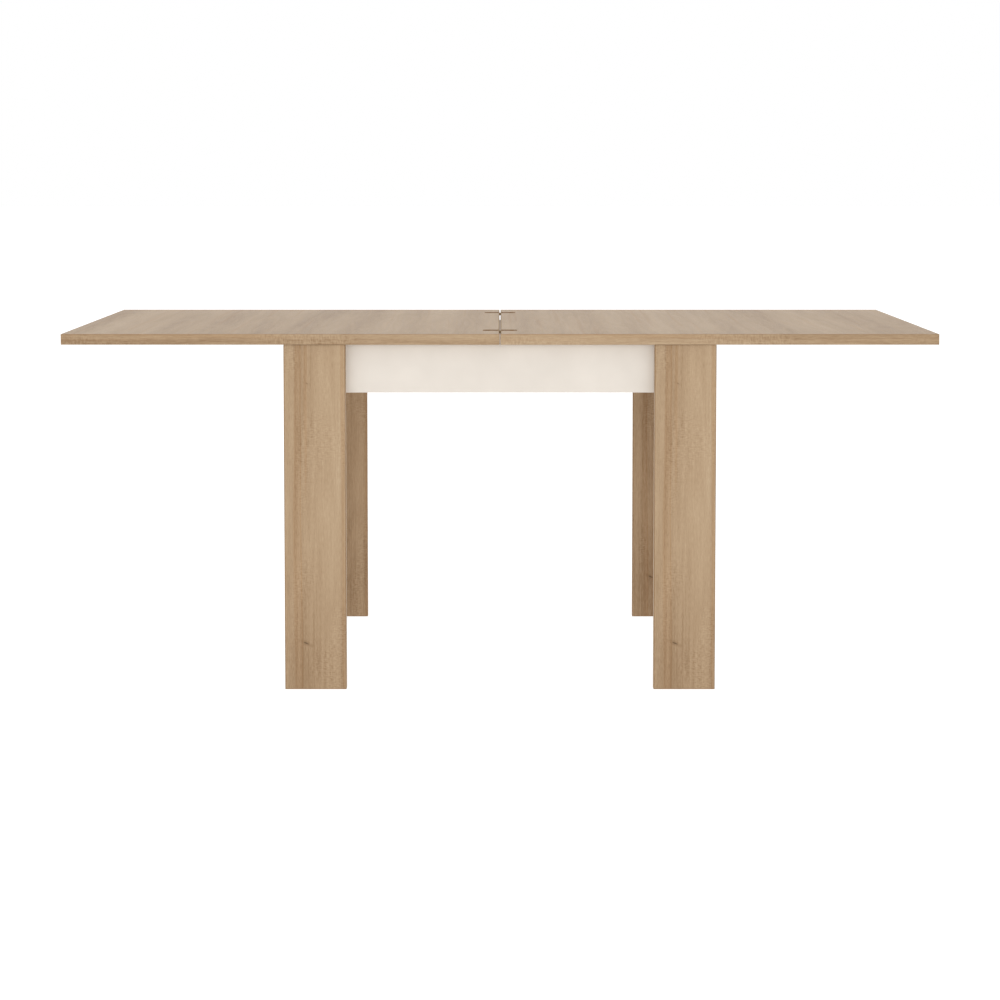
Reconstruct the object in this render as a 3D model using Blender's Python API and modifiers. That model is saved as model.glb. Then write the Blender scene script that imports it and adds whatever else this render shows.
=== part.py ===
"""Extending table with a swivelling, folding top.

Two square leaves lie side by side on a square frame of L-shaped legs and aprons.
Double-pivot flush hinges let the right leaf fold flat onto the left one, and the
left leaf turns a quarter turn about a pivot on a board inside the frame, so that
the folded stack sits squarely over the legs.

Metres, +Z up, +X along the open top, +Y to the back. The origin is on the floor
under the centre of the open top. Joint axes: swivel +Z at PIVOT; folds along -Y
through the two hinge pins at x = -/+ PIN_X, z = PIN_Z.
"""

import math

import bmesh
import bpy
from mathutils import Matrix, Vector

# Overall sizes
FIT = 0.0003  # gap left between neighbours
LEAF_SIDE = 0.900
LEAF_THICK = 0.022
SEAM = 0.0025
TOP_Z = 0.738
LEAF_LOW = TOP_Z - LEAF_THICK
EDGE_ROUND = 0.0008

# Frame
FRAME_HALF = 0.445
FRAME_TOP = 0.7152
BOARD = 0.022
LEG_ARM = 0.127
APRON_THICK = 0.018
APRON_LOW = FRAME_TOP - 0.100
APRON_OUT = FRAME_HALF - BOARD - FIT
APRON_IN = APRON_OUT - APRON_THICK
INNER = APRON_IN - FIT
BLOCK_ARM = 0.040
BLOCK_LOW, BLOCK_HIGH = 0.622, 0.704
BOLT_AT = 0.350
BOLT_Z = 0.664
BOLT_R = 0.003
BOLT_HEAD_R = 0.007
BOLT_HEAD = 0.004
BOLT_REACH = 0.0265
PAD_SIZE = (0.040, 0.012, 0.0014)
PAD_SEAT = 0.714  # the floor of the pockets that the pads lie in
PAD_AT = 0.250

# Swivel
PIVOT = Vector(((-LEAF_SIDE - SEAM) / 4, (LEAF_SIDE + SEAM) / 4, 0))
SWIVEL_BOARD_WIDE = 0.180
SWIVEL_BOARD_HIGH = 0.7105
SWIVEL_PLATE_SIDE = 0.160
SWIVEL_PLATE_THICK = 0.003
CLEAT = 0.020
STUD_R = 0.008
STUD_LOW = 0.669
FLANGE_R = 0.045
FLANGE_THICK = 0.003
BUSH_R = 0.011
BUSH_RIM_R = 0.014
BUSH_RIM = 0.0016
WASHER_R = 0.015
WASHER_THICK = 0.0017
NUT_R = 0.0139
NUT_THICK = 0.012
STOP_RADIUS = 0.060
STOP_R = 0.003
STOP_LOW, STOP_HIGH = 0.7115, 0.728
SLOT_HALF = 0.0034
SLOT_START, SLOT_SWEEP = math.radians(-45), math.radians(90)

# Flush folding hinges
HINGE_AT = 0.325
PIN_X = 0.0040
PIN_Z = TOP_Z - 0.0033
PIN_R = 0.0014
PIN_LONG = 0.027
PIN_BORE = 0.00155
LINK_R = 0.0029
LINK_WIDE = 0.012
HINGE_EDGE = 0.0018
KNUCKLE_EDGE = 0.0014
HINGE_LONG = 0.034
HINGE_WIDE = 0.040
HINGE_CORNER = 0.008
HINGE_TOP = TOP_Z - 0.0001
HINGE_THICK = 0.0025
KNUCKLE_LONG = 0.016
KNUCKLE_WIDE = 0.028
KNUCKLE_LOW = 0.729
SLIT = 0.0004
SCREW_AT = Vector((0.025, 0.011, 0))
SCREW_HEAD_R = 0.0038
SCREW_HEAD = 0.0022
SCREW_R = 0.0019
SCREW_LONG = 0.014
SCREW_TOP = HINGE_TOP - 0.0002

SIDES = {"left": -1, "right": 1}
ENDS = {"front": -1, "back": 1}


def clear_scene():
    for item in list(bpy.data.objects):
        bpy.data.objects.remove(item, do_unlink=True)


def collection(name):
    made = bpy.data.collections.new(name)
    bpy.context.scene.collection.children.link(made)
    return made


def linear(channel):
    channel /= 255
    return channel / 12.92 if channel <= 0.04045 else ((channel + 0.055) / 1.055) ** 2.4


def material(name, rgb, roughness, metallic=0.0):
    made = bpy.data.materials.new(name)
    made.use_nodes = True
    shader = made.node_tree.nodes["Principled BSDF"]
    shader.inputs["Base Color"].default_value = [linear(c) for c in rgb] + [1.0]
    shader.inputs["Roughness"].default_value = roughness
    shader.inputs["Metallic"].default_value = metallic
    made.diffuse_color = shader.inputs["Base Color"].default_value
    return made


def add(name, data, look=None, location=(0, 0, 0)):
    """A visible piece, or a hidden cutter when it has no material."""
    made = bpy.data.objects.new(name, data)
    made.location = location
    (PARTS if look else CUTTERS).objects.link(made)
    if look:
        if not data.materials:
            data.materials.append(look)
    else:
        made.hide_render = True
        made.display_type = "WIRE"
    return made


def mesh_of(name, shape):
    made = bpy.data.meshes.new(name)
    bmesh.ops.recalc_face_normals(shape, faces=shape.faces)
    shape.to_mesh(made)
    shape.free()
    return made


def box(name, low, high, look=None, rounding=0.0):
    """A box between two opposite corners, its origin at its centre."""
    low, high = Vector(low), Vector(high)
    shape = bmesh.new()
    bmesh.ops.create_cube(shape, size=1, matrix=Matrix.Diagonal((*(high - low), 1)))
    made = add(name, mesh_of(name, shape), look, (low + high) / 2)
    if rounding:
        bevel = made.modifiers.new("edges", "BEVEL")
        bevel.width = rounding
        bevel.segments = 2
        bevel.limit_method = "ANGLE"
    return made


def rod(name, radius, low, high, look=None, sides=32):
    """A cylinder or prism along Z between two heights, on its object's own axis."""
    shape = bmesh.new()
    bmesh.ops.create_cone(
        shape, cap_ends=True, segments=sides, radius1=radius, radius2=radius,
        depth=high - low, matrix=Matrix.Translation((0, 0, (low + high) / 2)),
    )
    made = add(name, mesh_of(name, shape), look)
    return made


def turned(name, profile, look=None, sides=32, ring=False):
    """A profile of (radius, height) points, top to bottom down its outer side, turned about Z."""
    shape = bmesh.new()
    points = [shape.verts.new((r, 0, z)) for r, z in profile]
    for first, second in zip(points, points[1:] + (points[:1] if ring else [])):
        shape.edges.new((first, second))
    data = bpy.data.meshes.new(name)
    shape.to_mesh(data)
    shape.free()
    made = add(name, data, look)
    screw = made.modifiers.new("turn", "SCREW")
    screw.steps = screw.render_steps = sides
    screw.use_merge_vertices = True
    screw.merge_threshold = 0.00001
    return made


def outline(name, loops, low, high, look=None):
    """A flat plate: the first loop of (x, y) points is its edge, and the others are holes."""
    curve = bpy.data.curves.new(name, "CURVE")
    curve.dimensions = "2D"
    curve.fill_mode = "BOTH"
    curve.extrude = (high - low) / 2
    for loop in loops:
        spline = curve.splines.new("POLY")
        spline.points.add(len(loop) - 1)
        for point, (x, y) in zip(spline.points, loop):
            point.co = (x, y, 0, 1)
        spline.use_cyclic_u = True
    return add(name, curve, look, (0, 0, (low + high) / 2))


def as_mesh(source, look=None):
    """The object as evaluated, with welded points, in place of the object it came from."""
    bpy.context.view_layer.update()
    graph = bpy.context.evaluated_depsgraph_get()
    data = bpy.data.meshes.new_from_object(source.evaluated_get(graph))
    shape = bmesh.new()
    shape.from_mesh(data)
    bmesh.ops.remove_doubles(shape, verts=shape.verts, dist=0.000001)
    bmesh.ops.recalc_face_normals(shape, faces=shape.faces)
    shape.to_mesh(data)
    shape.free()
    name, place = source.name, source.matrix_world.copy()
    bpy.data.objects.remove(source, do_unlink=True)
    made = add(name, data, look)
    made.matrix_world = place
    return made


def boolean(body, other, operation="DIFFERENCE"):
    change = body.modifiers.new(other.name, "BOOLEAN")
    change.operation = operation
    change.solver = "EXACT"
    change.object = other


def arc(centre, radius, start, sweep, steps):
    """Points along an arc, both ends included."""
    return [
        (centre[0] + radius * math.cos(start + sweep * i / steps),
         centre[1] + radius * math.sin(start + sweep * i / steps))
        for i in range(steps + 1)
    ]


def circle(centre, radius, steps=16):
    return arc(centre, radius, 0, math.tau, steps)[:-1]


def rounded_square(half, corner, steps=4):
    """A square about the origin with four round corners."""
    points = []
    for quarter in range(4):
        start = quarter * math.pi / 2
        turn = Matrix.Rotation(start, 2)
        points += arc(turn @ Vector((half - corner, half - corner)), corner, start, math.pi / 2, steps)
    return points


def hinge_outline(grow):
    """The left hinge plate seen from above, square at the seam and round at its far corners."""
    far = -HINGE_EDGE - HINGE_LONG - grow
    half = HINGE_WIDE / 2 + grow
    corner = HINGE_CORNER + grow
    near = -HINGE_EDGE if not grow else HINGE_EDGE
    return (
        [(near, -half), (near, half)]
        + arc((far + corner, half - corner), corner, math.pi / 2, math.pi / 2, 6)
        + arc((far + corner, corner - half), corner, math.pi, math.pi / 2, 6)
    )


def smooth(item):
    item.data.shade_smooth()
    item.data.set_sharp_from_angle(angle=math.radians(35))


clear_scene()
PARTS = collection("extending_table")
CUTTERS = collection("cutters")

OAK = material("oak_laminate", (184, 159, 132), 0.42)
WHITE = material("white_lacquer", (232, 224, 214), 0.45)
BEECH = material("beech", (196, 160, 120), 0.55)
BRONZE = material("bronze_lacquered_steel", (140, 112, 78), 0.6)
STEEL = material("zinc_plated_steel", (176, 178, 180), 0.35, 1.0)
NYLON = material("black_nylon", (32, 32, 34), 0.5)
FELT = material("grey_felt", (120, 116, 110), 0.95)


def build_legs():
    """Each leg is two boards in an L: a face board, and a return board behind it."""
    inner = FRAME_HALF - LEG_ARM
    for end, back in ENDS.items():
        for side, right in SIDES.items():
            name = f"leg_{end}_{side}"
            xs = sorted((right * FRAME_HALF, right * inner))
            ys = sorted((back * FRAME_HALF, back * (FRAME_HALF - BOARD)))
            face = box(f"{name}_face", (xs[0], ys[0], 0), (xs[1], ys[1], FRAME_TOP), OAK, EDGE_ROUND)
            boolean(face, bolt_hole(f"{name}_face", right * BOLT_AT, back * APRON_OUT, 0, back))

            xs = sorted((right * FRAME_HALF, right * (FRAME_HALF - BOARD)))
            ys = sorted((back * (FRAME_HALF - BOARD - FIT), back * inner))
            rear = box(f"{name}_return", (xs[0], ys[0], 0), (xs[1], ys[1], FRAME_TOP), OAK, EDGE_ROUND)
            boolean(rear, bolt_hole(f"{name}_return", right * APRON_OUT, back * BOLT_AT, right, 0))


def bolt_turn(out_x, out_y):
    """The rotation that lays local +Z along the outward direction."""
    return Vector((out_x, out_y, 0)).to_track_quat("Z", "Y").to_euler()


def bolt_hole(name, x, y, out_x, out_y):
    """A cutter for the bolt: centred on the apron's outer face, long enough for both boards."""
    made = rod(f"cut_bolt_{name}", BOLT_R + FIT, -0.030, 0.0088, sides=16)
    made.location = (x, y, BOLT_Z)
    made.rotation_euler = bolt_turn(out_x, out_y)
    return made


def pad_places():
    """The glide pads' centres, along the middle of the aprons' top edges."""
    middle = (APRON_OUT + APRON_IN) / 2
    return {
        "front_left": (-PAD_AT, -middle), "front_right": (PAD_AT, -middle),
        "back_left": (-PAD_AT, middle), "back_right": (PAD_AT, middle),
        "left": (-middle, 0), "right": (middle, 0),
    }


def pad_box(name, place, low, high, look=None, room=0.0):
    """A box as long and wide as a glide pad, lying along its apron, with room all round it."""
    long, wide, _ = PAD_SIZE
    x, y = place
    half = Vector((wide, long) if y == 0 else (long, wide)) / 2 + Vector((room, room))
    return box(name, (x - half.x, y - half.y, low), (x + half.x, y + half.y, high), look)


def build_aprons():
    """A ring of four boards, the front and back ones running the full width."""
    for name, place in pad_places().items():
        pad_box(f"cut_pad_{name}", place, PAD_SEAT, FRAME_TOP + 0.01, room=FIT)
    spans = {
        "front": ((-APRON_OUT, -APRON_OUT), (APRON_OUT, -APRON_IN)),
        "back": ((-APRON_OUT, APRON_IN), (APRON_OUT, APRON_OUT)),
        "left": ((-APRON_OUT, -INNER), (-APRON_IN, INNER)),
        "right": ((APRON_IN, -INNER), (APRON_OUT, INNER)),
    }
    for name, (low, high) in spans.items():
        board = box(f"apron_{name}", (*low, APRON_LOW), (*high, FRAME_TOP), WHITE, EDGE_ROUND)
        for cutter in list(CUTTERS.objects):
            if not cutter.name.startswith(("cut_bolt_", "cut_pad_")):
                continue
            x, y = cutter.location.x, cutter.location.y
            if low[0] - FIT < x < high[0] + FIT and low[1] - FIT < y < high[1] + FIT:
                boolean(board, cutter)


def build_corner_blocks():
    for end, back in ENDS.items():
        for side, right in SIDES.items():
            x, y = right * INNER, back * INNER
            tip = BLOCK_ARM * 0.1
            loop = [
                (x, y),
                (x - right * BLOCK_ARM, y),
                (x - right * BLOCK_ARM, y - back * tip),
                (x - right * tip, y - back * BLOCK_ARM),
                (x, y - back * BLOCK_ARM),
            ]
            outline(f"corner_block_{end}_{side}", [loop], BLOCK_LOW, BLOCK_HIGH, BEECH)


def build_leg_bolts():
    """Pan-head bolts from inside the frame through the apron into the leg board."""
    under = -APRON_THICK - FIT
    profile = [
        (0, under - BOLT_HEAD),
        (BOLT_HEAD_R - 0.0015, under - BOLT_HEAD),
        (BOLT_HEAD_R, under - BOLT_HEAD + 0.0015),
        (BOLT_HEAD_R, under),
        (BOLT_R, under),
        (BOLT_R, under + BOLT_REACH - 0.001),
        (BOLT_R - 0.001, under + BOLT_REACH),
        (0, under + BOLT_REACH),
    ]
    first = turned("leg_bolt_front_left_face", profile[::-1], STEEL, 16)
    first = as_mesh(first, STEEL)
    smooth(first)
    for end, back in ENDS.items():
        for side, right in SIDES.items():
            places = {
                "face": ((right * BOLT_AT, back * APRON_OUT), (0, back)),
                "return": ((right * APRON_OUT, back * BOLT_AT), (right, 0)),
            }
            for board, ((x, y), out) in places.items():
                name = f"leg_bolt_{end}_{side}_{board}"
                bolt = first if name == first.name else add(name, first.data, STEEL)
                bolt.location = (x, y, BOLT_Z)
                bolt.rotation_euler = bolt_turn(*out)


def build_glide_pads():
    """Felt strips let into the aprons' top edges, which the turning leaves slide over."""
    low = PAD_SEAT + FIT
    for name, place in pad_places().items():
        pad_box(f"glide_pad_{name}", place, low, low + PAD_SIZE[2], FELT)


def stop_place():
    return PIVOT + STOP_RADIUS * Vector((math.cos(SLOT_START), math.sin(SLOT_START), 0))


def build_swivel():
    """The board across the frame, and the pivot that the left leaf turns on."""
    half = SWIVEL_BOARD_WIDE / 2
    low = SWIVEL_BOARD_HIGH - BOARD
    board = box(
        "swivel_board", (PIVOT.x - half, -INNER, low), (PIVOT.x + half, INNER, SWIVEL_BOARD_HIGH),
        BEECH, EDGE_ROUND,
    )
    hole = rod("cut_swivel_board", BUSH_R + FIT, low - 0.01, SWIVEL_BOARD_HIGH + 0.01)
    hole.location = PIVOT
    boolean(board, hole)

    for end, back in ENDS.items():
        ys = sorted((back * INNER, back * (INNER - CLEAT)))
        box(
            f"swivel_cleat_{end}", (PIVOT.x - half, ys[0], low - FIT - CLEAT),
            (PIVOT.x + half, ys[1], low - FIT), BEECH, EDGE_ROUND,
        )

    slot = (
        arc((0, 0), STOP_RADIUS + SLOT_HALF, SLOT_START, SLOT_SWEEP, 16)
        + arc(Matrix.Rotation(SLOT_START + SLOT_SWEEP, 2) @ Vector((STOP_RADIUS, 0)), SLOT_HALF,
              SLOT_START + SLOT_SWEEP, math.pi, 8)[1:-1]
        + arc((0, 0), STOP_RADIUS - SLOT_HALF, SLOT_START + SLOT_SWEEP, -SLOT_SWEEP, 16)
        + arc(Matrix.Rotation(SLOT_START, 2) @ Vector((STOP_RADIUS, 0)), SLOT_HALF,
              SLOT_START + math.pi, math.pi, 8)[1:-1]
    )
    plate_low = SWIVEL_BOARD_HIGH + FIT
    plate_high = plate_low + SWIVEL_PLATE_THICK
    square = rounded_square(SWIVEL_PLATE_SIDE / 2, 0.012)
    plate = outline(
        "swivel_plate", [square, circle((0, 0), BUSH_R + FIT, 32), slot], plate_low, plate_high, STEEL,
    )
    plate.location.xy = PIVOT.xy

    rim_low = plate_high + FIT
    bore = STUD_R + FIT
    bush = turned("swivel_bush", [
        (bore, rim_low + BUSH_RIM), (BUSH_RIM_R, rim_low + BUSH_RIM), (BUSH_RIM_R, rim_low),
        (BUSH_R, rim_low), (BUSH_R, low), (bore, low),
    ], NYLON, ring=True)
    pivot = turned("swivel_pivot", [
        (0, LEAF_LOW + FLANGE_THICK), (FLANGE_R, LEAF_LOW + FLANGE_THICK), (FLANGE_R, LEAF_LOW),
        (STUD_R, LEAF_LOW), (STUD_R, STUD_LOW + 0.001), (STUD_R - 0.001, STUD_LOW), (0, STUD_LOW),
    ], STEEL)
    washer_high = low - FIT
    washer_low = washer_high - WASHER_THICK
    washer = turned("swivel_washer", [
        (bore, washer_high), (WASHER_R, washer_high), (WASHER_R, washer_low), (bore, washer_low),
    ], STEEL, ring=True)
    nut_high = washer_low - FIT
    nut = rod("swivel_nut", NUT_R, nut_high - NUT_THICK, nut_high, STEEL, 6)
    nut_bore = rod("cut_swivel_nut", bore, STUD_LOW - 0.01, nut_high + 0.01)
    boolean(nut, nut_bore)
    stop = turned("swivel_stop_pin", [
        (0, STOP_HIGH), (STOP_R - 0.0005, STOP_HIGH), (STOP_R, STOP_HIGH - 0.0005),
        (STOP_R, STOP_LOW + 0.0005), (STOP_R - 0.0005, STOP_LOW), (0, STOP_LOW),
    ], STEEL, 16)
    for item in (bush, pivot, washer, nut, nut_bore):
        item.location = PIVOT
    stop.location = stop_place()


def build_leaf(side, right):
    """One square leaf with mortises for its hinge plates along the seam."""
    xs = sorted((right * SEAM / 2, right * (SEAM / 2 + LEAF_SIDE)))
    half = LEAF_SIDE / 2
    leaf = box(f"leaf_{side}", (xs[0], -half, LEAF_LOW), (xs[1], half, TOP_Z), OAK, EDGE_ROUND)
    above = TOP_Z + 0.005
    for end, back in ENDS.items():
        place = Matrix.Translation((0, back * HINGE_AT, 0)) @ Matrix.Rotation(math.pi * (right > 0), 4, "Z")
        tag = f"{end}_{side}"
        plate_low = HINGE_TOP - HINGE_THICK - FIT
        pocket = as_mesh(outline(f"cut_plate_{tag}", [hinge_outline(FIT)], plate_low, above))
        knuckle = box(
            f"cut_knuckle_{tag}",
            (-KNUCKLE_LONG - FIT, -KNUCKLE_WIDE / 2 - FIT, KNUCKLE_LOW - FIT),
            (HINGE_EDGE, KNUCKLE_WIDE / 2 + FIT, above),
        )
        pilots = []
        for sign in (-1, 1):
            low = SCREW_TOP - SCREW_LONG - FIT
            pilot = rod(f"cut_pilot_{tag}_{sign + 2}", SCREW_R + FIT, low, above, sides=12)
            pilot.location = (-SCREW_AT.x, sign * SCREW_AT.y, 0)
            pilots.append(pilot)
        bpy.context.view_layer.update()
        for cutter in (pocket, knuckle, *pilots):
            cutter.matrix_world = place @ cutter.matrix_world
            boolean(leaf, cutter)
    return leaf


def build_left_leaf_seats(leaf):
    """Recesses under the left leaf for the pivot's flange and the stop pin."""
    flange = rod("cut_flange", FLANGE_R + FIT, LEAF_LOW - 0.01, LEAF_LOW + FLANGE_THICK + FIT)
    flange.location = PIVOT
    stop = rod("cut_stop", STOP_R + FIT, LEAF_LOW - 0.01, STOP_HIGH + FIT, sides=16)
    stop.location = stop_place()
    boolean(leaf, flange)
    boolean(leaf, stop)


def hinge_plate_mesh():
    """A flush plate with a knuckle block below it, slotted for the link and bored for the pin."""
    plate = as_mesh(outline("hinge_plate", [hinge_outline(0)], HINGE_TOP - HINGE_THICK, HINGE_TOP))
    knuckle = box(
        "cut_knuckle", (-KNUCKLE_LONG, -KNUCKLE_WIDE / 2, KNUCKLE_LOW),
        (-KNUCKLE_EDGE, KNUCKLE_WIDE / 2, HINGE_TOP - HINGE_THICK / 2),
    )
    slit = box(
        "cut_link_slot", (-PIN_X - LINK_R - SLIT, -LINK_WIDE / 2 - SLIT, PIN_Z - LINK_R - SLIT),
        (HINGE_EDGE, LINK_WIDE / 2 + SLIT, TOP_Z + 0.005),
    )
    bore = rod("cut_pin_bore", PIN_BORE, -HINGE_WIDE / 2, HINGE_WIDE / 2, sides=16)
    bore.location = (-PIN_X, 0, PIN_Z)
    bore.rotation_euler.x = math.pi / 2
    boolean(plate, knuckle, "UNION")
    boolean(plate, slit)
    boolean(plate, bore)
    room = 0.00035
    for sign in (-1, 1):
        sink = turned(f"cut_sink_{sign + 2}", [
            (0, SCREW_TOP + 0.002),
            (SCREW_HEAD_R + room, SCREW_TOP + 0.002),
            (SCREW_HEAD_R + room, SCREW_TOP),
            (SCREW_R + room, SCREW_TOP - SCREW_HEAD),
            (SCREW_R + room, SCREW_TOP - 0.006),
            (0, SCREW_TOP - 0.006),
        ], sides=16)
        sink.location = (-SCREW_AT.x, sign * SCREW_AT.y, 0)
        boolean(plate, sink)
    used = [change.object for change in plate.modifiers]
    done = as_mesh(plate)
    data = done.data
    data.transform(done.matrix_world)
    for item in (done, *used):
        bpy.data.objects.remove(item, do_unlink=True)
    return data


def build_hinges():
    plate_data = hinge_plate_mesh()
    capsule = (
        arc((PIN_X, 0), LINK_R, -math.pi / 2, math.pi, 8) + arc((-PIN_X, 0), LINK_R, math.pi / 2, math.pi, 8)
    )
    bores = [circle((x, 0), PIN_BORE) for x in (-PIN_X, PIN_X)]
    screw_profile = [
        (0, 0), (SCREW_HEAD_R, 0), (SCREW_R, -SCREW_HEAD), (SCREW_R, 0.003 - SCREW_LONG), (0, -SCREW_LONG),
    ]
    for end, back in ENDS.items():
        link = outline(f"hinge_link_{end}", [capsule, *bores], -LINK_WIDE / 2, LINK_WIDE / 2, STEEL)
        link.rotation_euler.x = math.pi / 2
        link.location = (0, back * HINGE_AT, PIN_Z)
        for side, right in SIDES.items():
            tag = f"{end}_{side}"
            plate = add(f"hinge_plate_{tag}", plate_data, BRONZE, (0, back * HINGE_AT, 0))
            plate.rotation_euler.z = math.pi * (right > 0)
            pin = rod(f"hinge_pin_{tag}", PIN_R, -PIN_LONG / 2, PIN_LONG / 2, STEEL, 16)
            pin.rotation_euler.x = math.pi / 2
            pin.location = (right * PIN_X, back * HINGE_AT, PIN_Z)
            smooth(pin)
            for number, sign in ((1, -1), (2, 1)):
                screw = turned(f"hinge_screw_{tag}_{number}", screw_profile, BRONZE, 16)
                screw.location = (right * SCREW_AT.x, back * HINGE_AT + sign * SCREW_AT.y, SCREW_TOP)


def build_moving_frames():
    """Empties on the joint axes: the swivelling left leaf, the links, and the folding right leaf."""
    places = {
        "axis_top_swivel": (PIVOT.x, PIVOT.y, FRAME_TOP),
        "axis_flap_inner": (-PIN_X, 0, PIN_Z),
        "axis_flap_outer": (PIN_X, 0, PIN_Z),
    }
    empties = []
    for name, place in places.items():
        empty = bpy.data.objects.new(name, None)
        empty.empty_display_size = 0.05
        empty.location = place
        PARTS.objects.link(empty)
        empties.append(empty)
    swivel, inner, outer = empties
    bpy.context.view_layer.update()
    put(inner, swivel)
    put(outer, inner)
    for item in PARTS.objects:
        name = item.name
        if item.type == "EMPTY":
            continue
        if name in ("leaf_left", "swivel_pivot", "swivel_washer", "swivel_nut", "swivel_stop_pin"):
            put(item, swivel)
        elif name.startswith("hinge_link") or name.startswith("hinge_pin"):
            put(item, inner)
        elif name.startswith("hinge_"):
            put(item, outer if "right" in name else swivel)
        elif name == "leaf_right":
            put(item, outer)


def put(child, parent):
    """Parent an object and leave it where it is."""
    bpy.context.view_layer.update()
    child.parent = parent
    child.matrix_parent_inverse = parent.matrix_world.inverted()


build_legs()
build_aprons()
build_corner_blocks()
build_leg_bolts()
build_glide_pads()
build_swivel()
left = build_leaf("left", SIDES["left"])
build_leaf("right", SIDES["right"])
build_left_leaf_seats(left)
build_hinges()
build_moving_frames()
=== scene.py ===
import math

import bmesh
import bpy
from mathutils import Matrix, Vector


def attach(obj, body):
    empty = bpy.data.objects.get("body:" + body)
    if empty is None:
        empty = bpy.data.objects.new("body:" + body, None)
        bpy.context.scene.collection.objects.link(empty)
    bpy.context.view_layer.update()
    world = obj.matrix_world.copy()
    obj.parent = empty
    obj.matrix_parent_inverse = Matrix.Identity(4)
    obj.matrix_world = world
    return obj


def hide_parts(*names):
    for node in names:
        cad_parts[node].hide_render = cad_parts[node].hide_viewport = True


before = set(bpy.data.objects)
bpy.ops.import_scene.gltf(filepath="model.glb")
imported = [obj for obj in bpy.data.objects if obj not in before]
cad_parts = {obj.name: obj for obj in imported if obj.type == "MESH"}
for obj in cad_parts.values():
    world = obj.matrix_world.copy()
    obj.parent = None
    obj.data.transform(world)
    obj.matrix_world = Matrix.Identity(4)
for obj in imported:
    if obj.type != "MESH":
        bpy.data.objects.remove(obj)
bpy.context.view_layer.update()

# Sizes in metres, as in the CAD model. FIT is the gap between parts that touch.
FIT = 0.0003
# Points this near are merged, and heights this near are the same
MERGE, SAME = 0.000002, 0.000001
# A leaf's side and thickness, the seam between the leaves, and their top and underside
SIDE, THICK, SEAM, TOP = 0.900, 0.022, 0.0025, 0.738
LOW = TOP - THICK
# Half the frame's side, its top, and the width and thickness of a leg's boards
HALF, FRAME_TOP, ARM, BOARD = 0.445, 0.7152, 0.127, 0.022
# The aprons' faces and lower edge, and the space inside them
APRON_OUT = HALF - BOARD - FIT
APRON_IN = APRON_OUT - 0.018
APRON_LOW = FRAME_TOP - 0.100
INNER = APRON_IN - FIT
# The glide pads' places along an apron, their seats' floor, and the seats' length and width
PAD_AT, PAD_SEAT, PAD_LONG, PAD_WIDE = 0.250, 0.714, 0.040, 0.012
PAD_THICK = 0.0014
# An edge band's thickness, and how wide its trimmed corners are
BAND, TRIM = 0.0015, 0.0008
# The hinges' places along the seam, their plates' top and thickness, their reach to the side, half
# their length along the seam, their corners' radius and their edge beside the seam
HINGE_AT, HINGE_TOP, HINGE_THICK = 0.325, TOP - 0.0001, 0.0025
HINGE_REACH, HINGE_HALF, HINGE_CORNER, HINGE_EDGE = 0.0358, 0.020, 0.008, 0.0018
# The knuckle under a plate: its reach, half its length, its underside and its edge beside the seam
KNUCKLE_REACH, KNUCKLE_HALF, KNUCKLE_LOW, KNUCKLE_EDGE = 0.016, 0.014, 0.729, 0.0014
# The hinge pins' places, radius, bore and half length, and the links' radius, half width and room
PIN_X, PIN_Z, PIN_R, PIN_BORE, PIN_HALF = 0.0040, TOP - 0.0033, 0.0014, 0.00155, 0.0135
LINK_R, LINK_HALF, LINK_ROOM = 0.0029, 0.0060, 0.0004
# How far the pockets' cutters reach past the seam, and their tops, one above the other so that no
# two faces coincide
PAST_SEAM, POCKET_TOP, KNUCKLE_TOP = 0.002, TOP + 0.005, TOP + 0.006
# The axis that the top swivels on
PIVOT = Vector((-(SIDE + SEAM) / 4, (SIDE + SEAM) / 4, 0))
# The pivot's flange and its screws' distance from the axis, and the stud with its thread and its end
FLANGE_R, FLANGE_THICK, FLANGE_SCREW_AT = 0.045, 0.003, 0.033
STUD_R, STUD_ROOT, STUD_END = 0.0080, 0.00735, 0.669
THREAD_TOP, THREAD_LOW, THREAD_PITCH = 0.686, 0.6715, 0.0015
# The bush's radius, its rim's, and its rim's top and underside
BUSH_R, BUSH_RIM, BUSH_TOP, BUSH_SEAT = 0.0110, 0.014, 0.7157, 0.7141
# The washer's radius, underside and top, and the nut's radius, height and middle
WASHER_R, WASHER_LOW, WASHER_TOP = 0.015, 0.6865, 0.6882
NUT_R, NUT_HIGH, NUT_Z = 0.0139, 0.012, 0.6802
# The stop pin's distance from the axis, its radius and its ends, and the turn that its slot allows
STOP_AT, STOP_R, STOP_TOP, STOP_LOW = 0.060, 0.003, 0.728, 0.7115
STOP_START, STOP_SWEEP, SLOT_HALF = math.radians(-45), math.radians(90), 0.0034
# The plate with that slot: its faces, half its side, its corners' radius and its screws' places
PLATE_LOW, PLATE_HIGH, PLATE_HALF, PLATE_CORNER = 0.7108, 0.7138, 0.080, 0.012
PLATE_SCREW_AT, PLATE_SCREW_HOLE = 0.066, 0.0026
# The board that carries it, half its width, and its cleats' side, their top and their screws' places
SWIVEL_LOW, SWIVEL_HIGH, SWIVEL_HALF = 0.6885, 0.7105, 0.090
CLEAT, CLEAT_TOP, CLEAT_SCREW_AT = 0.020, 0.6882, 0.060
# Screws with sunk heads: the head's radius, the shank's and the length
HINGE_SCREW = (0.0038, 0.0019, 0.014)
PLATE_SCREW = (0.0024, 0.0018, 0.016)
FLANGE_SCREW = (0.0040, 0.0020, 0.016)
# Screws with domed heads: the head's radius and height, the shank's radius and the length
CLEAT_SCREW = (0.0038, 0.0022, 0.0019, 0.018)
LEG_BOLT = (0.007, 0.004, 0.003, 0.0265)
# The hinge screws' places from the hinge's middle, and their heads' top
HINGE_SCREW_X, HINGE_SCREW_Y, HINGE_SCREW_TOP = 0.025, 0.011, HINGE_TOP - 0.0002
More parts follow.
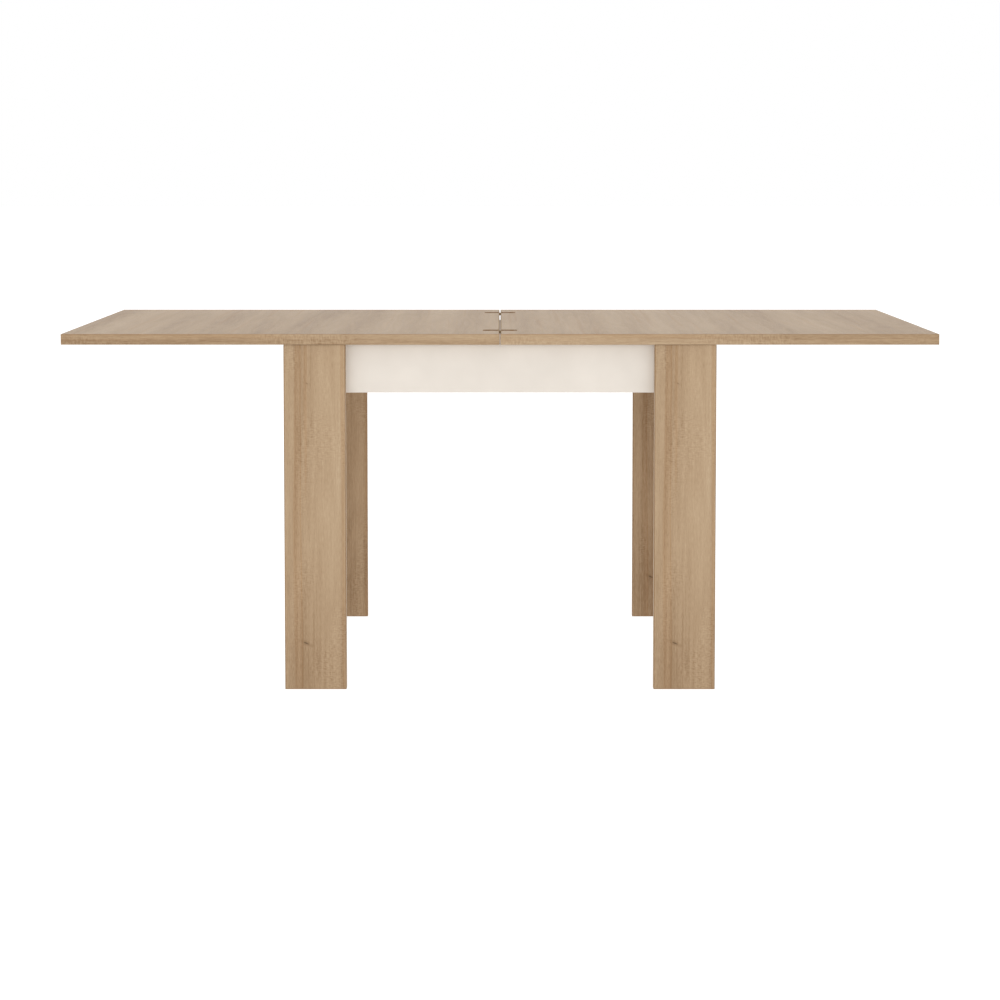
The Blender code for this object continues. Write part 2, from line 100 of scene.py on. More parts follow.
# The leg bolts' places, and the corner blocks' arms, tips, underside and top
BOLT_AT, BOLT_Z = 0.350, 0.664
BLOCK_ARM, BLOCK_TIP, BLOCK_LOW, BLOCK_HIGH = 0.040, 0.004, 0.622, 0.704
# The camera's place, focal length, tilt in degrees and shift
CAMERA_AT, LENS, TILT, SHIFT = (0, -5.7536, 1.0849), 93.31, 4.094, -0.15
# The key light's place, the point it looks at, its side and its power
KEY_AT, KEY_AIM, KEY_SIDE, KEY_WATTS = (-3.2, -4.6, 4.2), (0, 0, 0.5), 3.5, 12
# The studio's light by the sine of the height it comes from, and how strong the strongest is
WALLS = ((0.0, 1.0), (0.26, 1.0), (0.34, 0.18), (0.90, 0.55))
WALL_LIGHT = 2.05
# Half the floor's side, its grey and its own light, which together make it white
FLOOR_HALF, FLOOR_GREY, FLOOR_LIGHT = 60, 0.30, 0.92
ENDS = {"front": -1, "back": 1}
SIDES = {"left": -1, "right": 1}


# ---------------------------------------------------------------- materials
class Nodes:
    """A material's node tree, with short ways to add the nodes it needs."""

    def __init__(self, name, slot):
        self.material = bpy.data.materials.new(name)
        self.material.use_nodes = True
        self.tree = self.material.node_tree
        self.shader = self.tree.nodes["Principled BSDF"]
        self.slot = slot

    def add(self, kind, inputs=(), **settings):
        node = self.tree.nodes.new(kind)
        for key, value in settings.items():
            setattr(node, key, value)
        for key, value in dict(inputs).items():
            self.set(node.inputs[key], value)
        return node

    def set(self, socket, value):
        if isinstance(value, bpy.types.NodeSocket):
            self.tree.links.new(value, socket)
        else:
            socket.default_value = value

    def math(self, operation, a, b=0.0):
        return self.add("ShaderNodeMath", {0: a, 1: b}, operation=operation).outputs[0]

    def around(self, value, reach):
        """A value of 0 to 1 as minus to plus half the reach."""
        return self.math("MULTIPLY", self.math("SUBTRACT", value, 0.5), reach)

    def vector(self, operation, a, b):
        return self.add("ShaderNodeVectorMath", {0: a, 1: b}, operation=operation).outputs[0]

    def parts(self, vector):
        return self.add("ShaderNodeSeparateXYZ", {0: vector}).outputs

    def normal(self):
        """The three parts of the surface's own direction, in the piece's frame."""
        return self.parts(self.add("ShaderNodeTexCoord").outputs["Normal"])

    def noise(self, place, stretch, detail=2.0, rough=0.5):
        """Noise of 0 to 1, with so many features a metre along each axis."""
        scaled = self.vector("MULTIPLY", place, stretch)
        return self.add(
            "ShaderNodeTexNoise", {"Vector": scaled, "Scale": 1.0, "Detail": detail, "Roughness": rough}
        ).outputs[0]

    def range(self, value, low, high, to_low=0.0, to_high=1.0):
        """The value's way from low to high, smoothly, as the way from to_low to to_high."""
        return self.add(
            "ShaderNodeMapRange", {0: value, 1: low, 2: high, 3: to_low, 4: to_high},
            interpolation_type="SMOOTHSTEP",
        ).outputs[0]

    def ramp(self, value, stops):
        node = self.add("ShaderNodeValToRGB", {0: value})
        items = node.color_ramp.elements
        while len(items) < len(stops):
            items.new(0.5)
        for item, (place, rgb) in zip(items, stops):
            item.position = place
            item.color = colour(rgb)
        return node.outputs[0]

    def mix(self, factor, a, b, blend="MIX"):
        node = self.add("ShaderNodeMix", {0: factor}, data_type="RGBA", blend_type=blend)
        self.set(node.inputs[6], a)
        self.set(node.inputs[7], b)
        return node.outputs[2]

    def bump(self, height, distance, strength):
        return self.add(
            "ShaderNodeBump", {"Height": height, "Distance": distance, "Strength": strength}
        ).outputs[0]

    def place(self, shift=(0, 0, 0), turn=(0, 0, 0), scale=(1, 1, 1)):
        """The point on the piece, in metres in the piece's own frame."""
        where = self.add("ShaderNodeTexCoord").outputs["Object"]
        return self.add("ShaderNodeMapping", {0: where, 1: shift, 2: turn, 3: scale}).outputs[0]

    def finish(self, base, rough, normal, **fixed):
        self.set(self.shader.inputs["Base Color"], base)
        self.set(self.shader.inputs["Roughness"], rough)
        self.set(self.shader.inputs["Normal"], normal)
        for key, value in fixed.items():
            self.shader.inputs[key.replace("_", " ")].default_value = value
        self.material["slot"] = self.slot
        return self.material


def linear(channel):
    """A colour channel of 0 to 255 as the light it stands for."""
    channel /= 255
    return channel / 12.92 if channel <= 0.04045 else ((channel + 0.055) / 1.055) ** 2.4


def colour(rgb):
    return [linear(c) for c in rgb] + [1.0]


TURNS = {"Z": (0, 0, 0), "Y": (math.pi / 2, 0, 0), "X": (0, -math.pi / 2, 0)}
OAK = ((0.18, (141, 114, 84)), (0.42, (163, 137, 107)), (0.60, (173, 148, 118)), (0.85, (187, 164, 135)))
PORE, PORE_LINE, KNOT = (126, 99, 71), (118, 90, 62), (84, 63, 44)
# The print's marks: how many a metre, the last number along the grain, and their detail and roughness
MARKS = {
    "broad": ((15, 15, 0.6), 2.0),
    "streak": ((55, 55, 1.6), 2.0),
    "fine": ((300, 300, 7), 2.0),
    "dash": ((850, 850, 75), 2.0, 0.6),
    "ripple": ((130, 130, 330), 1.0),
    "curly": ((16, 16, 5), 1.0),
    "crown": ((24, 24, 1.9), 1.0),
    "warm": ((70, 70, 0.8), 1.0),
    "pore": ((2300, 2300, 110), 1.0),
    "line": ((1300, 1300, 26), 1.0),
}
# How much each mark changes the tone, beside the broad bands
WEIGHTS = {"streak": 0.25, "fine": 0.32, "dash": 0.60, "ripple": 0.60, "crown": 0.09}
# How the grain sways from straight: the sway's noise, and its reach in metres
SWAY, SWAY_REACH = ((7, 7, 1.6), 2.0), 0.020
# The figure across the leg's face, in metres from its left edge. The joints of its three strips are
# straight, and the rest sways: each step has its start, its end and the change in tone.
LEG_JOINTS = ((0.0203, 0.0215, -0.09), (0.1160, 0.1168, -0.05))
LEG_FIGURE = ((0.036, 0.044, 0.05), (0.052, 0.056, -0.04), (0.058, 0.063, 0.05), (0.064, 0.078, 0.04))
# Each warm streak's middle, its half width and its strength
LEG_WARM = ((0.0345, 0.0024, 0.9), (0.0285, 0.0070, 0.45), (0.1215, 0.0018, 0.9))
# Painted shade: the leg faces' tone darkens towards the foot, fading out up to this height
LEG_FOOT_SHADE = (0.0, 0.33, -0.155, -0.005)
# Each knot's place on the face, its half width and height, and how dark it is
KNOTS = ((0.0440, 0.0965, 0.0046, 0.0015, 0.75), (0.0480, 0.636, 0.0024, 0.0009, 0.3))
# The front and back bands' tone, and its change above the joint of their two strips
BAND_TONE = {"left": (-0.05, 0.10), "right": (0.10, -0.06)}
BAND_JOINT = (0.0100, 0.0125)
# An edge band's place on the print, and its roughness
EDGE_SHIFT, EDGE_ROUGH = (0.13, 0.29, 0.07), 0.5
# The plain plastic that a band shows beside its print, from dim to pale, darkened as painted shade on its
# rounded edges
PLAIN_BAND_AND_SHADE = {"front": ((146, 119, 89), (158, 131, 101)), "other": ((130, 102, 71), (144, 115, 83))}


def leg_print(n, raw, place, value, warm):
    """Adds the leg's figure and a painted shade towards the foot to the tone, adds the warm streaks, and
    finds how dark its knots are.
    """
    across = n.parts(place)[0]
    flat = n.parts(raw)
    # painted shade: the tone darkens towards the foot
    value = n.math("ADD", value, n.range(flat[2], *LEG_FOOT_SHADE))
    for line, steps in ((flat[0], LEG_JOINTS), (across, LEG_FIGURE)):
        for start, end, change in steps:
            value = n.math("ADD", value, n.range(line, start, end, 0.0, change))
    for middle, half, amount in LEG_WARM:
        off = n.math("ABSOLUTE", n.math("SUBTRACT", across, middle))
        warm = n.math("MAXIMUM", warm, n.range(off, 0.0, half, amount, 0.0))
    dark = 0.0
    for knot_x, knot_z, wide, high, depth in KNOTS:
        dx = n.math("DIVIDE", n.math("SUBTRACT", flat[0], knot_x), wide)
        dz = n.math("DIVIDE", n.math("SUBTRACT", flat[2], knot_z), high)
        dz = n.math("ADD", dz, n.math("MULTIPLY", dx, 1.2))
        far = n.math("ADD", n.math("POWER", dx, 2.0), n.math("POWER", dz, 2.0))
        value = n.math("SUBTRACT", value, n.range(far, 0.5, 20.0, 0.16 * depth, 0.0))
        dark = n.math("MAXIMUM", n.range(far, 0.1, 2.2, depth, 0.0), dark)
    return value, warm, dark


def leaf_band_print_and_shade(n, value, side):
    """Adds the figure of a leaf's front and back bands: two strips, and a painted shade that darkens them
    towards the outer end.
    """
    along, _, high = n.parts(n.place())
    far = along if side == "right" else n.math("SUBTRACT", SIDE, along)
    # painted shade: the band darkens towards the leaf's outer end
    value = n.math("ADD", value, n.range(far, 0.15, SIDE, 0.0, -0.18))
    tone, step = BAND_TONE[side]
    return n.math("ADD", value, n.range(high, *BAND_JOINT, tone, tone + step))


def oak(
    name, grain, shift=(0, 0, 0), leg=None, outward=None, side=None,
    broad_weight=0.35, contrast=1.0, rough=0.45,
):
    """Printed light oak: grain along one axis, soft bands, fine streaks, short dashes and pores.

    leg, "plain" or "mirrored", adds the figure that all the leg faces share, and a painted shade that darkens
    them towards the foot. outward is the way an edge band's printed face looks: its trimmed corners show the
    band's plain brown, darkened as painted shade on the rounded edges.
    side, "left" or "right", adds the figure of that leaf's front and back bands, and a painted shade that
    darkens them towards the outer end.
    """
    n = Nodes(name, "oak_laminate")
    raw = n.place((ARM, 0, 0), scale=(-1, 1, 1)) if leg == "mirrored" else n.place(shift, TURNS[grain])
    sway = n.around(n.noise(raw, *SWAY), SWAY_REACH)
    place = n.vector("ADD", raw, n.add("ShaderNodeCombineXYZ", {0: sway}).outputs[0])
    mark = {key: n.noise(place, *kind) for key, kind in MARKS.items()}
    curly = n.range(mark["curly"], 0.48, 0.66)
    mark["ripple"] = n.math("ADD", n.around(mark["ripple"], curly), 0.5)
    mark["crown"] = n.math("PINGPONG", n.math("MULTIPLY", mark["crown"], 11.0), 1.0)
    value = 0.45 if outward else 0.5
    for key, weight in {"broad": broad_weight, **WEIGHTS}.items():
        value = n.math("ADD", value, n.around(mark[key], weight * contrast))
    warm = n.math("MULTIPLY", n.range(mark["warm"], 0.60, 0.70), 0.55)
    if leg:
        value, warm, dark = leg_print(n, raw, place, value, warm)
    if side:
        value = leaf_band_print_and_shade(n, value, side)
    base = n.mix(warm, n.ramp(value, OAK), (0.95, 0.86, 0.76, 1), "MULTIPLY")
    pore = n.math("MULTIPLY", n.range(mark["pore"], 0.60, 0.72), n.range(mark["streak"], 0.40, 0.62))
    base = n.mix(n.math("MULTIPLY", pore, 0.4), base, colour(PORE))
    line = n.math("MULTIPLY", n.range(mark["line"], 0.60, 0.68), n.range(mark["broad"], 0.62, 0.40))
    base = n.mix(n.math("MULTIPLY", line, 0.30), base, colour(PORE_LINE))
    if leg:
        base = n.mix(dark, base, colour(KNOT))
    gloss = n.math("ADD", rough - 0.05, n.math("MULTIPLY", mark["fine"], 0.14))
    if outward:
        # The trimmed corners take the band's plain brown, darkened as painted shade on the rounded edges
        facing = n.math("ABSOLUTE", n.normal()["XYZ".index(outward)])
        corner = n.range(facing, 0.75, 0.98, 1.0, 0.0)
        dim, pale = PLAIN_BAND_AND_SHADE["front" if side else "other"]
        base = n.mix(corner, base, n.mix(mark["fine"], colour(dim), colour(pale)))
        gloss = n.math("MAXIMUM", gloss, n.math("MULTIPLY", corner, 0.95))
    height = n.math("SUBTRACT", n.math("ADD", mark["fine"], n.math("MULTIPLY", mark["dash"], 0.6)), pore)
    return n.finish(base, gloss, n.bump(height, 0.00004, 0.5), Specular_IOR_Level=0.25)


def white_lacquer():
    """Warm white lacquer with faint clouds and a fine orange peel."""
    n = Nodes("white_lacquer", "white_lacquer")
    place = n.place()
    cloud = n.noise(place, (14, 14, 14), 2.0)
    peel = n.noise(place, (520, 520, 520), 2.0)
    base = n.ramp(cloud, [(0.3, (213, 205, 195)), (0.7, (218, 210, 200))])
    gloss = n.range(peel, 0.2, 0.8, 0.38, 0.5)
    return n.finish(base, gloss, n.bump(peel, 0.00002, 0.4), Specular_IOR_Level=0.4)


def beech(name, grain):
    n = Nodes(name, "beech")
    place = n.place((0.3, 0.2, 0.1), TURNS[grain])
    streak = n.noise(place, (90, 90, 3), 3.0, 0.6)
    fleck = n.noise(place, (700, 700, 180), 2.0)
    base = n.ramp(streak, [(0.25, (186, 148, 106)), (0.75, (208, 174, 134))])
    base = n.mix(n.range(fleck, 0.62, 0.72, 0.0, 0.5), base, colour((160, 118, 80)))
    height = n.math("ADD", streak, n.math("MULTIPLY", fleck, 0.5))
    return n.finish(base, n.range(streak, 0.2, 0.8, 0.5, 0.68), n.bump(height, 0.0001, 0.5))


# A light and a dark ply of the plywood together, in metres
TWO_PLIES = 0.0044


def plywood():
    """Beech veneers with their plies showing at the edges."""
    n = Nodes("beech_plywood", "beech")
    place = n.place()
    grain = n.noise(place, (80, 2.5, 80), 3.0, 0.6)
    fleck = n.noise(place, (600, 60, 600), 2.0)
    ply = n.math("FRACT", n.math("DIVIDE", n.parts(place)[2], TWO_PLIES))
    ply = n.range(n.math("ABSOLUTE", n.math("SUBTRACT", ply, 0.5)), 0.22, 0.28)
    edge = n.range(n.math("ABSOLUTE", n.normal()[2]), 0.4, 0.6, 1.0, 0.0)
    base = n.ramp(grain, [(0.25, (196, 160, 118)), (0.75, (216, 184, 144))])
    base = n.mix(n.math("MULTIPLY", n.math("MULTIPLY", ply, edge), 0.55), base, colour((148, 110, 74)))
    base = n.mix(n.range(fleck, 0.62, 0.72, 0.0, 0.35), base, colour((166, 126, 88)))
    return n.finish(base, n.range(grain, 0.2, 0.8, 0.5, 0.65), n.bump(grain, 0.0001, 0.4))


def bronze_lacquer():
    """Matt lacquer with a faint orange peel, and small rubbed spots that shine."""
    n = Nodes("bronze_lacquer", "bronze_lacquered_steel")
    place = n.place()
    peel = n.noise(place, (1200, 1200, 1200), 2.0)
    cloud = n.noise(place, (90, 90, 90), 3.0, 0.6)
    rubbed = n.range(n.noise(place, (260, 260, 260), 3.0, 0.7), 0.56, 0.72)
    base = n.ramp(cloud, [(0.3, (112, 80, 42)), (0.7, (130, 96, 54))])
    gloss = n.math("SUBTRACT", n.range(peel, 0.2, 0.8, 0.56, 0.70), n.math("MULTIPLY", rubbed, 0.12))
    return n.finish(base, gloss, n.bump(peel, 0.00003, 0.5), Specular_IOR_Level=0.06)


def zinc(name, dark, light, rough):
    """Zinc plating: a fine grain, clouds, and worn spots that shine a little more."""
    n = Nodes(name, "zinc_plated_steel")
    place = n.place()
    grain = n.noise(place, (500, 500, 500), 2.0, 0.6)
    cloud = n.noise(place, (120, 120, 120), 3.0, 0.6)
    worn = n.range(n.noise(place, (45, 45, 45), 4.0, 0.7), 0.5, 0.75)
    tone = n.math("ADD", n.math("MULTIPLY", grain, 0.5), n.math("MULTIPLY", cloud, 0.5))
    base = n.ramp(tone, [(0.3, dark), (0.7, light)])
    gloss = n.range(grain, 0.2, 0.8, rough - 0.06, rough + 0.08)
    gloss = n.math("SUBTRACT", gloss, n.math("MULTIPLY", worn, 0.06))
    return n.finish(base, gloss, n.bump(grain, 0.00003, 0.5), Metallic=1.0)


def nylon():
    n = Nodes("black_nylon", "black_nylon")
    place = n.place()
    grain = n.noise(place, (900, 900, 900), 2.0)
    base = n.ramp(grain, [(0.3, (26, 26, 28)), (0.7, (40, 40, 42))])
    return n.finish(base, n.range(grain, 0.2, 0.8, 0.42, 0.6), n.bump(grain, 0.00005, 0.5))


def felt():
    n = Nodes("grey_felt", "grey_felt")
    place = n.place()
    fibre = n.noise(place, (1400, 1400, 1400), 3.0, 0.7)
    cloud = n.noise(place, (160, 160, 160), 2.0)
    tone = n.math("ADD", n.math("MULTIPLY", fibre, 0.6), n.math("MULTIPLY", cloud, 0.4))
    base = n.ramp(tone, [(0.3, (98, 94, 90)), (0.7, (140, 136, 130))])
    return n.finish(base, n.range(fibre, 0.2, 0.8, 0.86, 1.0), n.bump(fibre, 0.0004, 0.7))


# ---------------------------------------------------------------- shapes
def linked(name, data, look, place=Matrix.Identity(4)):
    """A new object of the scene, at its place, with its material."""
    made = bpy.data.objects.new(name, data)
    bpy.context.scene.collection.objects.link(made)
    made.matrix_world = place
    data.materials.append(look)
    made.modifiers.new("flat_faces_stay_flat", "WEIGHTED_NORMAL").keep_sharp = True
    return made


def shade(data):
    data.shade_smooth()
    data.set_sharp_from_angle(angle=math.radians(32))


def put(piece, body, *nodes):
    """The piece moves with its body, and stands for the CAD nodes."""
    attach(piece, body)
    if nodes:
        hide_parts(*nodes)


def block(low, high):
    """A rectangular block from its lowest corner to its highest."""
    shape = bmesh.new()
    low, high = Vector(low), Vector(high)
    bmesh.ops.create_cube(
        shape, size=1, matrix=Matrix.Translation((low + high) / 2) @ Matrix.Diagonal((*(high - low), 1))
    )
    return shape


def round_edges(shape, width, segments, test=None):
    """Rounds the edges whose two ends both pass the test."""
    edges = [e for e in shape.edges if test is None or all(test(v.co) for v in e.verts)]
    bmesh.ops.bevel(
        shape, geom=edges, offset=width, offset_type="OFFSET", segments=segments, profile=0.5,
        affect="EDGES", clamp_overlap=True,
    )


def to_mesh(name, shape):
    data = bpy.data.meshes.new(name)
    bmesh.ops.recalc_face_normals(shape, faces=shape.faces)
    shape.to_mesh(data)
    shape.free()
    shade(data)
    return data


def turned(name, profile, sides=64, ring=False):
    """A profile of (radius, height) turned about Z: (0, z) ends lie on the axis, and a ring closes."""
    shape = bmesh.new()
    points = [shape.verts.new((r, 0, z)) for r, z in profile]
    edges = [shape.edges.new(pair) for pair in zip(points, points[1:] + (points[:1] if ring else []))]
    bmesh.ops.spin(
        shape, geom=points + edges, cent=(0, 0, 0), axis=(0, 0, 1), angle=math.tau, steps=sides,
        use_merge=True,
    )
    bmesh.ops.remove_doubles(shape, verts=shape.verts, dist=MERGE)
    return to_mesh(name, shape)


def arc(centre, radius, start, sweep, steps):
    return [
        (centre[0] + radius * math.cos(start + sweep * i / steps),
         centre[1] + radius * math.sin(start + sweep * i / steps))
        for i in range(steps + 1)
    ]


def circle(centre, radius, steps):
    return arc(centre, radius, 0, math.tau, steps)[:-1]


def plate(name, loops, low, high, rounding=0.0):
    """A flat plate from its edge loop and its hole loops, with its rims rounded."""
    curve = bpy.data.curves.new(name, "CURVE")
    curve.dimensions = "2D"
    curve.fill_mode = "BOTH"
    curve.extrude = (high - low) / 2
    for loop in loops:
        spline = curve.splines.new("POLY")
        spline.points.add(len(loop) - 1)
        for point, (x, y) in zip(spline.points, loop):
            point.co = (x, y, 0, 1)
        spline.use_cyclic_u = True
    holder = bpy.data.objects.new(name, curve)
    bpy.context.scene.collection.objects.link(holder)
    bpy.context.view_layer.update()
    data = bpy.data.meshes.new_from_object(holder.evaluated_get(bpy.context.evaluated_depsgraph_get()))
    bpy.data.objects.remove(holder)
    bpy.data.curves.remove(curve)
    shape = bmesh.new()
    shape.from_mesh(data)
    bpy.data.meshes.remove(data)
    bmesh.ops.remove_doubles(shape, verts=shape.verts, dist=MERGE)
    bmesh.ops.dissolve_limit(shape, angle_limit=0.01, verts=shape.verts, edges=shape.edges)
    bmesh.ops.translate(shape, vec=(0, 0, (low + high) / 2), verts=shape.verts)
    bmesh.ops.recalc_face_normals(shape, faces=shape.faces)
    if rounding:
        rim = [e for e in shape.edges if abs(e.verts[0].co.z - e.verts[1].co.z) < SAME]
        rim = [e for e in rim if e.is_manifold and e.calc_face_angle() > 1.0]
        bmesh.ops.bevel(shape, geom=rim, offset=rounding, segments=2, profile=0.5, affect="EDGES")
    return shape


def weld(data, near=1.5 * MERGE):
    """Joins points that lie almost on each other, and takes away the slivers between them."""
    shape = bmesh.new()
    shape.from_mesh(data)
    bmesh.ops.remove_doubles(shape, verts=shape.verts, dist=near)
    bmesh.ops.dissolve_degenerate(shape, edges=shape.edges, dist=near)
    shape.to_mesh(data)
    shape.free()


def cut(data, *cutters, union=()):
    """The mesh with the cutters' meshes taken away, after the union's meshes are joined to it.

    All the meshes that go in are used up.
    """
    body = bpy.data.objects.new("body", data)
    bpy.context.scene.collection.objects.link(body)
    helpers = []
    for operation, meshes in (("UNION", union), ("DIFFERENCE", cutters)):
        for mesh in meshes:
            helper = bpy.data.objects.new("helper", mesh)
            bpy.context.scene.collection.objects.link(helper)
            helpers.append(helper)
            change = body.modifiers.new("cut", "BOOLEAN")
            change.operation = operation
            change.object = helper
            change.solver = "EXACT"
    bpy.context.view_layer.update()
    done = bpy.data.meshes.new_from_object(body.evaluated_get(bpy.context.evaluated_depsgraph_get()))
    done.name = data.name
    done.materials.clear()
    weld(done)
    for item in (body, *helpers):
        old = item.data
        bpy.data.objects.remove(item)
        if old.users == 0:
            bpy.data.meshes.remove(old)
    shade(done)
    return done


# ---------------------------------------------------------------- banded boards
def banded(name, size, edges, looks, body, nodes, place, cutters=()):
    """A board in its own frame, from (0, 0, 0) to size, with edge bands.

    edges names the banded sides: x0, x1, y0, y1 or z0. The first two run full length and the
    others fit between them. looks holds the face's material, and the bands' by the axis they run
    along and the axis they face. cutters are functions that make a mesh, in the board's frame, to
    cut from everything.
    """
    low, high = Vector((0, 0, 0)), Vector(size)
    for edge in edges:
        axis = "xyz".index(edge[0])
        if edge[1] == "0":
            low[axis] += BAND
        else:
            high[axis] -= BAND
    board = to_mesh(f"{name}_board", block(low, high))
    if cutters:
        board = cut(board, *[make() for make in cutters])
    put(linked(f"{name}_board", board, looks["face"], place), body, *nodes)
    thin = min(range(3), key=lambda i: size[i])
    for number, edge in enumerate(edges):
        axis = "xyz".index(edge[0])
        run = next(i for i in range(3) if i not in (thin, axis))
        first, last = Vector((0, 0, 0)), Vector(size)
        if edge[1] == "0":
            last[axis] = low[axis]
        else:
            first[axis] = high[axis]
        if number >= 2:
            first[run], last[run] = low[run], high[run]
        outer = 0.0 if edge[1] == "0" else size[axis]
        shape = block(first, last)
        round_edges(shape, TRIM, 4, lambda v: abs(v[axis] - outer) < SAME)
        data = to_mesh(f"{name}_band_{edge}", shape)
        if cutters:
            data = cut(data, *[make() for make in cutters])
        put(linked(data.name, data, looks["XYZ"[run] + "XYZ"[axis]], place), body)


def frame_at(x, y, z, turn):
    """A board's own frame: x to the right as seen from outside, y inwards, z up."""
    return Matrix.Translation((x, y, z)) @ Matrix.Rotation(math.radians(turn), 4, "Z")


def seen_from(back, make, *args):
    """A function that makes a cutter and moves it by back, into a board's own frame."""
    def made():
        data = make(*args)
        data.transform(back)
        return data
    return made


def build_leaves():
    face = {
        side: oak(f"oak_top_{side}", "Y", (0.31 * number, 0.17 * number, 0.05), broad_weight=0.75)
        for number, side in enumerate(SIDES, 1)
    }
    for side, right in SIDES.items():
        x = SEAM / 2 if right > 0 else -SEAM / 2 - SIDE
        place = Matrix.Translation((x, -SIDE / 2, LOW))
        back = place.inverted()
        front = oak(
            f"oak_edge_front_{side}", "X", EDGE_SHIFT, outward="Y", side=side, contrast=1.1, rough=EDGE_ROUGH
        )
        cutters = [seen_from(back, hinge_pocket, y * HINGE_AT, right) for y in ENDS.values()]
        cutters += [seen_from(back, knuckle_pocket, y * HINGE_AT, right) for y in ENDS.values()]
        if right < 0:
            cutters += [
                seen_from(back, recess, PIVOT, FLANGE_R + FIT, LOW + FLANGE_THICK + FIT),
                seen_from(back, recess, stop_place(), STOP_R + FIT, STOP_TOP + FIT),
            ]
        banded(
            f"leaf_{side}", (SIDE, SIDE, THICK), ("y0", "y1", "x0", "x1"),
            {"face": face[side], **EDGE, "XY": front}, leaf_body(right), [f"leaf_{side}"], place, cutters,
        )


def leaf_body(right):
    return "top_flap" if right > 0 else "top_fixed"


def stop_place():
    return PIVOT + STOP_AT * Vector((math.cos(STOP_START), math.sin(STOP_START), 0))


def recess(centre, radius, high):
    """A round cutter from below the leaves up to a height."""
    shape = bmesh.new()
    bmesh.ops.create_cone(
        shape, cap_ends=True, segments=64, radius1=radius, radius2=radius, depth=high - LOW + 0.01,
        matrix=Matrix.Translation((centre.x, centre.y, (high + LOW - 0.01) / 2)),
    )
    return to_mesh("recess", shape)


def hinge_outline(grow):
    """The left hinge plate from above: square at the seam, round at its far corners."""
    far, half, corner = -HINGE_REACH - grow, HINGE_HALF + grow, HINGE_CORNER + grow
    near = PAST_SEAM if grow else -HINGE_EDGE
    return (
        [(near, -half), (near, half)]
        + arc((far + corner, half - corner), corner, math.pi / 2, math.pi / 2, 12)
        + arc((far + corner, corner - half), corner, math.pi, math.pi / 2, 12)
    )


def hinge_place(y, right):
    return Matrix.Translation((0, y, 0)) @ Matrix.Rotation(math.pi * (right > 0), 4, "Z")


def hinge_pocket(y, right):
    data = to_mesh("pocket", plate("pocket", [hinge_outline(FIT)], HINGE_TOP - HINGE_THICK - FIT, POCKET_TOP))
    data.transform(hinge_place(y, right))
    return data


def knuckle_pocket(y, right):
    half = KNUCKLE_HALF + FIT
    data = to_mesh("pocket", block(
        (-KNUCKLE_REACH - FIT, -half, KNUCKLE_LOW - FIT), (PAST_SEAM, half, KNUCKLE_TOP)
    ))
    data.transform(hinge_place(y, right))
    return data


def build_legs():
    face = {0: oak("oak_leg_front", "Z", leg="plain"), 180: oak("oak_leg_back", "Z", leg="mirrored")}
    other = oak("oak_leg_return", "Z", (0.21, 0.4, 0.33))
    faces = {
        "front_left": (-HALF, -HALF, 0), "front_right": (HALF - ARM, -HALF, 0),
        "back_left": (ARM - HALF, HALF, 180), "back_right": (HALF, HALF, 180),
    }
    returns = {
        "front_left": (-HALF, ARM - HALF, -90), "back_left": (-HALF, APRON_OUT, -90),
        "front_right": (HALF, -APRON_OUT, 90), "back_right": (HALF, HALF - ARM, 90),
    }
    for kind, wide, places in (("face", ARM, faces), ("return", ARM - BOARD - FIT, returns)):
        for leg, (x, y, turn) in places.items():
            name = f"leg_{leg}_{kind}"
            banded(
                name, (wide, BOARD, FRAME_TOP), ("x0", "x1", "z0"), {"face": face.get(turn, other), **EDGE},
                "frame", [name], frame_at(x, y, 0, turn),
            )


def build_aprons():
    look = white_lacquer()
    places = {
        "front": (-APRON_OUT, -APRON_OUT, 0, APRON_OUT), "back": (APRON_OUT, APRON_OUT, 180, APRON_OUT),
        "left": (-APRON_OUT, INNER, -90, INNER), "right": (APRON_OUT, -INNER, 90, INNER),
    }
    thick = APRON_OUT - APRON_IN
    for name, (x, y, turn, half) in places.items():
        pads = (half - PAD_AT, half + PAD_AT) if half == APRON_OUT else (half,)
        banded(
            f"apron_{name}", (2 * half, thick, FRAME_TOP - APRON_LOW), ("z0",), {"face": look, "XZ": look},
            "frame", [f"apron_{name}"], frame_at(x, y, APRON_LOW, turn),
            [lambda at=at: pad_pocket(at, thick / 2) for at in pads],
        )


def pad_pocket(x, y):
    """The seat of a glide pad in an apron's top edge, in the apron's own frame."""
    half = Vector((PAD_LONG / 2 + FIT, PAD_WIDE / 2 + FIT))
    return to_mesh("pocket", block(
        (x - half.x, y - half.y, PAD_SEAT - APRON_LOW), (x + half.x, y + half.y, FRAME_TOP - APRON_LOW + 0.01)
    ))


# ---------------------------------------------------------------- hardware
def slots(width, arm, depth, high):
    """The recess as two meshes, one for each slot, which narrow downwards."""
    done = []
    for turn in (0, math.pi / 2):
        shape = bmesh.new()
        made = bmesh.ops.create_cube(shape, size=1)["verts"]
        for v in made:
            long, wide = (1, 1) if v.co.z > 0 else (0.45, 0.7)
            v.co = Vector((v.co.x * 2 * arm * long, v.co.y * width * wide, v.co.z * 2 * depth))
        bmesh.ops.rotate(shape, verts=made, cent=(0, 0, 0), matrix=Matrix.Rotation(turn, 3, "Z"))
        bmesh.ops.translate(shape, verts=shape.verts, vec=(0, 0, high))
        done.append(to_mesh("slot", shape))
    return done


def sunk_screw(name, head, shank, long):
    """A countersunk screw, its head's top at z = 0."""
    data = turned(name, [
        (0, 0), (head - 0.00015, 0), (head, -0.00025), (shank, -head + shank - 0.0001),
        (shank, -long + 0.003), (0, -long),
    ], 40)
    return cut(data, *slots(head * 0.26, head * 0.62, 0.0012, 0.0))


